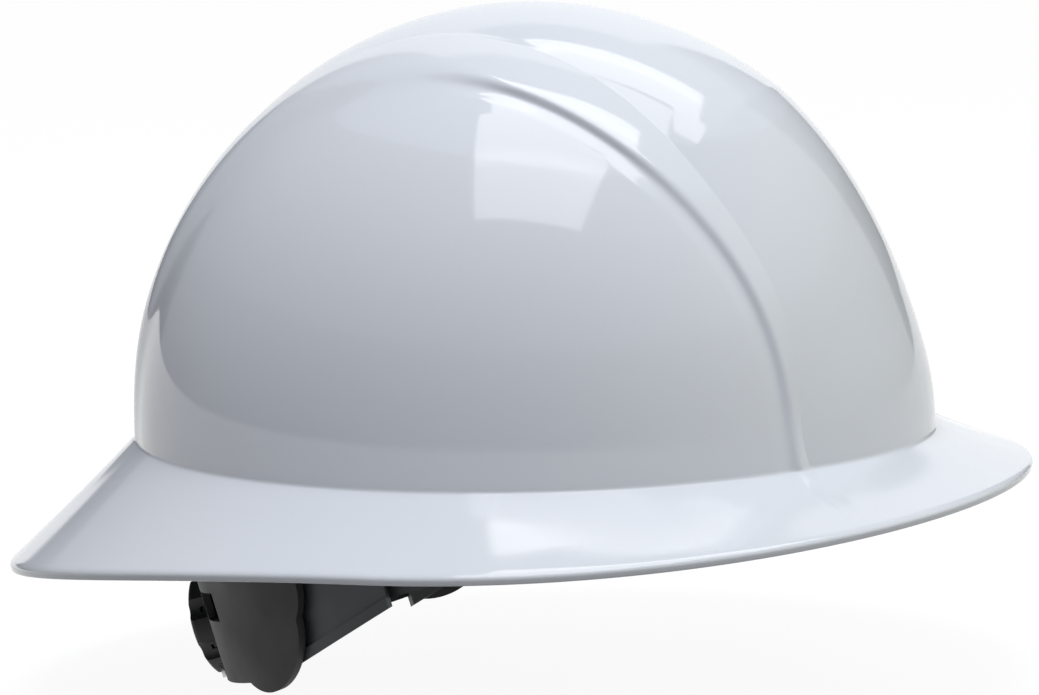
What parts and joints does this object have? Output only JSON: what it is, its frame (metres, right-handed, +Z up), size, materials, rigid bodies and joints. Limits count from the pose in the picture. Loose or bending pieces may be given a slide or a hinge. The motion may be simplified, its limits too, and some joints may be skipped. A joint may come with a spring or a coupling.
{
  "type": "full brim hard hat",
  "caption": "Full brim hard hat with a combed crown and a ratchet suspension: crown straps, headband, brow pad, nape cradle and a knob that draws the nape arms together.",
  "frame": {"origin": "middle of the head on the hat's plane of symmetry, level with the line where the crown meets the brim", "axes": "+X to the wearer's front, +Y to the wearer's left, +Z up"},
  "size_m": [0.3188, 0.285, 0.2127],
  "materials": {
    "shell_plastic": "moulded, high gloss",
    "band_plastic": "moulded, satin",
    "arm_plastic": "moulded, satin",
    "cradle_plastic": "moulded, fine grain",
    "gear_plastic": "moulded, natural",
    "pad_cloth": "knitted cloth over foam",
    "webbing": "woven webbing",
    "metal": "plated"
  },
  "bodies": {
    "helmet": {"shell": "shell_plastic", "headband": "band_plastic", "hanger_rivets": "metal", "brow_pad": "pad_cloth", "crown_pad": "pad_cloth", "nape_pad": "pad_cloth", "crown_strap_upper": "webbing", "crown_strap_lower": "webbing", "nape_cradle": "cradle_plastic", "ratchet_plate": "cradle_plastic", "plate_screws": "metal", "detent_ring": "cradle_plastic", "key_front_left": "band_plastic", "key_front_right": "band_plastic", "key_rear_left": "band_plastic", "key_rear_right": "band_plastic"},
    "knob": {"ratchet_knob": "cradle_plastic", "drive_pinion": "gear_plastic", "click_spring": "gear_plastic", "knob_screw": "metal"},
    "arm_left": {"nape_arm_left": "arm_plastic"},
    "arm_right": {"nape_arm_right": "arm_plastic"}
  },
  "joints": [
    {"name": "knob_turn", "type": "hinge", "parent": "helmet", "child": "knob", "pos_m": [-0.09543, 0, -0.06089], "axis": [0.9613, 0, 0.2756], "range_deg": [-230, 230]},
    {"name": "arm_left_slide_round", "type": "hinge", "parent": "helmet", "child": "arm_left", "pos_m": [-0.014, 0, -0.0365], "axis": [-0.2756, 0, 0.9613], "range_deg": [-14.2, 14.2]},
    {"name": "arm_right_slide_round", "type": "hinge", "parent": "helmet", "child": "arm_right", "pos_m": [-0.014, 0, -0.0365], "axis": [0.2756, 0, -0.9613], "range_deg": [-14.2, 14.2]}
  ],
  "couplings": [
    {"joint": "arm_left_slide_round", "follows": "knob_turn", "ratio": 0.059988},
    {"joint": "arm_right_slide_round", "follows": "knob_turn", "ratio": 0.058343}
  ]
}
